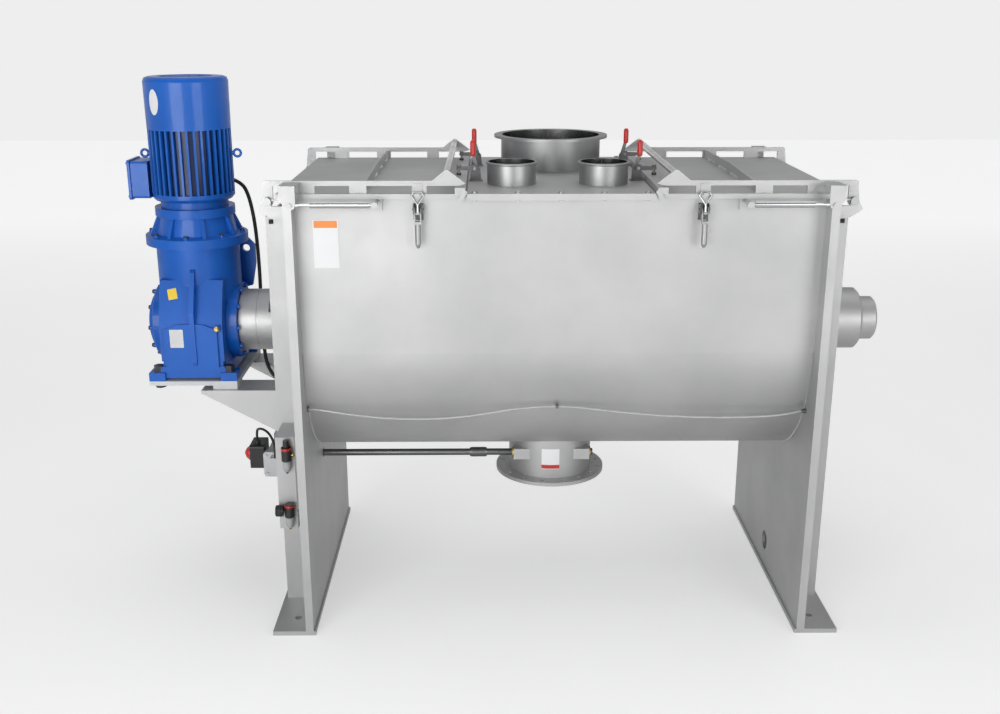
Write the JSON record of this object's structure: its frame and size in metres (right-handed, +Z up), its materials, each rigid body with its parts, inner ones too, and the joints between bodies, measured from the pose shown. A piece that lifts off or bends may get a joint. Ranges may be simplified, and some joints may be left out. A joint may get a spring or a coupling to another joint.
{
  "type": "horizontal ribbon mixer",
  "caption": "Stainless horizontal ribbon mixer: U trough on end frames, double helical ribbon shaft, two sprung lids, bottom flap valve and vertical geared motor",
  "frame": {"origin": "middle of the four floor anchors, on the underside of the foot plates", "axes": "+X along the mixing shaft towards the far bearing, away from the motor, +Y to the rear, +Z up through the inlets"},
  "size_m": [2.371, 0.99, 1.664],
  "materials": {
    "stainless": "satin blasted",
    "bright_stainless": "bright",
    "bronze": "bright",
    "grey_aluminium": "satin",
    "black_plastic": "matte",
    "blue_paint": "gloss",
    "grey_paint": "satin",
    "black_steel": "satin",
    "cable": "satin",
    "clear_tube": "clear",
    "chrome_rod": "polished",
    "red_grip": "gloss"
  },
  "bodies": {
    "frame": {"left_end_frame": "stainless", "right_end_frame": "stainless", "trough_shell": "stainless", "cross_beams": "stainless", "centre_deck": "stainless", "inlet_necks": "bright_stainless", "outlet_spout": "stainless", "valve_bushes": "bronze", "hinge_pins": "bright_stainless", "deck_bolts": "bright_stainless", "drive_bracket": "stainless", "motor_base_plate": "grey_paint", "gearbox_bolts": "black_steel", "gearbox_housing": "blue_paint", "gearbox_side_cover": "blue_paint", "motor_adapter": "blue_paint", "motor_stator": "blue_paint", "motor_fan_cowl": "blue_paint", "motor_terminal_box": "blue_paint", "left_shaft_housing": "stainless", "right_bearing_housing": "stainless", "bearing_end_cap": "stainless", "valve_actuator": "grey_aluminium", "limit_switch_box": "black_plastic", "air_panel": "stainless", "filter_regulators": "black_plastic", "motor_cable": "cable", "air_tube": "clear_tube", "switch_cable": "cable", "tube_fittings": "bronze", "clamp_bases": "black_steel", "latch_bases": "bright_stainless"},
    "agitator": {"main_shaft": "bright_stainless", "ribbon_spokes": "stainless", "outer_ribbons": "stainless", "inner_ribbons": "stainless"},
    "discharge_valve": {"valve_flap": "stainless", "valve_shaft": "bright_stainless"},
    "left_lid": {"left_lid_sheet": "stainless", "left_lid_rails": "stainless", "left_lid_handle": "bright_stainless"},
    "left_gas_cylinders_body": {"left_gas_cylinders": "bright_stainless"},
    "left_gas_rods_body": {"left_gas_rods": "chrome_rod"},
    "front_left_clamp_arm_body": {"front_left_clamp_arm": "black_steel"},
    "front_left_clamp_handle_body": {"front_left_clamp_handle": "red_grip"},
    "rear_left_clamp_arm_body": {"rear_left_clamp_arm": "black_steel"},
    "rear_left_clamp_handle_body": {"rear_left_clamp_handle": "red_grip"},
    "left_latch_lever_body": {"left_latch_lever": "bright_stainless"},
    "left_latch_bail_body": {"left_latch_bail": "bright_stainless"},
    "right_lid": {"right_lid_sheet": "stainless", "right_lid_rails": "stainless", "right_lid_handle": "bright_stainless"},
    "right_gas_cylinders_body": {"right_gas_cylinders": "bright_stainless"},
    "right_gas_rods_body": {"right_gas_rods": "chrome_rod"},
    "front_right_clamp_arm_body": {"front_right_clamp_arm": "black_steel"},
    "front_right_clamp_handle_body": {"front_right_clamp_handle": "red_grip"},
    "rear_right_clamp_arm_body": {"rear_right_clamp_arm": "black_steel"},
    "rear_right_clamp_handle_body": {"rear_right_clamp_handle": "red_grip"},
    "right_latch_lever_body": {"right_latch_lever": "bright_stainless"},
    "right_latch_bail_body": {"right_latch_bail": "bright_stainless"}
  },
  "joints": [
    {"name": "agitator_turn", "type": "hinge", "parent": "frame", "child": "agitator", "pos_m": [0, 0, 0.893], "axis": [1, 0, 0], "continuous": true},
    {"name": "valve_turn", "type": "hinge", "parent": "frame", "child": "discharge_valve", "pos_m": [0, -0.092, 0.462], "axis": [-1, 0, 0], "range_deg": [0, 90]},
    {"name": "left_lid_hinge", "type": "hinge", "parent": "frame", "child": "left_lid", "pos_m": [-0.823, 0, 1.343], "axis": [0, -1, 0], "range_deg": [0, 80]},
    {"name": "left_gas_swing", "type": "hinge", "parent": "frame", "child": "left_gas_cylinders_body", "pos_m": [-0.517, 0, 1.343], "axis": [0, 1, 0], "range_deg": [0, 14]},
    {"name": "left_gas_stroke", "type": "slide", "parent": "left_gas_cylinders_body", "child": "left_gas_rods_body", "axis": [-1, 0, 0], "range_m": [0, 0.0695]},
    {"name": "front_left_clamp_arm_turn", "type": "hinge", "parent": "frame", "child": "front_left_clamp_arm_body", "pos_m": [-0.246, -0.16, 1.402], "axis": [0, 1, 0], "range_deg": [0, 105]},
    {"name": "front_left_clamp_handle_turn", "type": "hinge", "parent": "frame", "child": "front_left_clamp_handle_body", "pos_m": [-0.236, -0.16, 1.394], "axis": [0, 1, 0], "range_deg": [0, 36]},
    {"name": "rear_left_clamp_arm_turn", "type": "hinge", "parent": "frame", "child": "rear_left_clamp_arm_body", "pos_m": [-0.246, 0.2, 1.402], "axis": [0, 1, 0], "range_deg": [0, 105]},
    {"name": "rear_left_clamp_handle_turn", "type": "hinge", "parent": "frame", "child": "rear_left_clamp_handle_body", "pos_m": [-0.236, 0.2, 1.394], "axis": [0, 1, 0], "range_deg": [0, 36]},
    {"name": "left_latch_turn", "type": "hinge", "parent": "frame", "child": "left_latch_lever_body", "pos_m": [-0.402, -0.424, 1.322], "axis": [-1, 0, 0], "range_deg": [0, 90]},
    {"name": "left_bail_turn", "type": "hinge", "parent": "left_latch_lever_body", "child": "left_latch_bail_body", "pos_m": [-0.402, -0.44, 1.312], "axis": [1, 0, 0], "range_deg": [0, 121]},
    {"name": "right_lid_hinge", "type": "hinge", "parent": "frame", "child": "right_lid", "pos_m": [0.823, 0, 1.343], "axis": [0, 1, 0], "range_deg": [0, 80]},
    {"name": "right_gas_swing", "type": "hinge", "parent": "frame", "child": "right_gas_cylinders_body", "pos_m": [0.517, 0, 1.343], "axis": [0, -1, 0], "range_deg": [0, 14]},
    {"name": "right_gas_stroke", "type": "slide", "parent": "right_gas_cylinders_body", "child": "right_gas_rods_body", "axis": [1, 0, 0], "range_m": [0, 0.0695]},
    {"name": "front_right_clamp_arm_turn", "type": "hinge", "parent": "frame", "child": "front_right_clamp_arm_body", "pos_m": [0.246, -0.16, 1.402], "axis": [0, -1, 0], "range_deg": [0, 105]},
    {"name": "front_right_clamp_handle_turn", "type": "hinge", "parent": "frame", "child": "front_right_clamp_handle_body", "pos_m": [0.236, -0.16, 1.394], "axis": [0, -1, 0], "range_deg": [0, 36]},
    {"name": "rear_right_clamp_arm_turn", "type": "hinge", "parent": "frame", "child": "rear_right_clamp_arm_body", "pos_m": [0.246, 0.2, 1.402], "axis": [0, -1, 0], "range_deg": [0, 105]},
    {"name": "rear_right_clamp_handle_turn", "type": "hinge", "parent": "frame", "child": "rear_right_clamp_handle_body", "pos_m": [0.236, 0.2, 1.394], "axis": [0, -1, 0], "range_deg": [0, 36]},
    {"name": "right_latch_turn", "type": "hinge", "parent": "frame", "child": "right_latch_lever_body", "pos_m": [0.402, -0.424, 1.322], "axis": [-1, 0, 0], "range_deg": [0, 90]},
    {"name": "right_bail_turn", "type": "hinge", "parent": "right_latch_lever_body", "child": "right_latch_bail_body", "pos_m": [0.402, -0.44, 1.312], "axis": [1, 0, 0], "range_deg": [0, 121]}
  ],
  "couplings": [
    {"joint": "left_gas_swing", "follows": "left_lid_hinge", "ratio": 0.1721},
    {"joint": "left_gas_stroke", "follows": "left_lid_hinge", "m_per_rad": 0.0494},
    {"joint": "front_left_clamp_handle_turn", "follows": "front_left_clamp_arm_turn", "ratio": 0.33333},
    {"joint": "rear_left_clamp_handle_turn", "follows": "rear_left_clamp_arm_turn", "ratio": 0.33333},
    {"joint": "left_bail_turn", "follows": "left_latch_turn", "ratio": 1.3333},
    {"joint": "right_gas_swing", "follows": "right_lid_hinge", "ratio": 0.1721},
    {"joint": "right_gas_stroke", "follows": "right_lid_hinge", "m_per_rad": 0.0494},
    {"joint": "front_right_clamp_handle_turn", "follows": "front_right_clamp_arm_turn", "ratio": 0.33333},
    {"joint": "rear_right_clamp_handle_turn", "follows": "rear_right_clamp_arm_turn", "ratio": 0.33333},
    {"joint": "right_bail_turn", "follows": "right_latch_turn", "ratio": 1.3333}
  ]
}
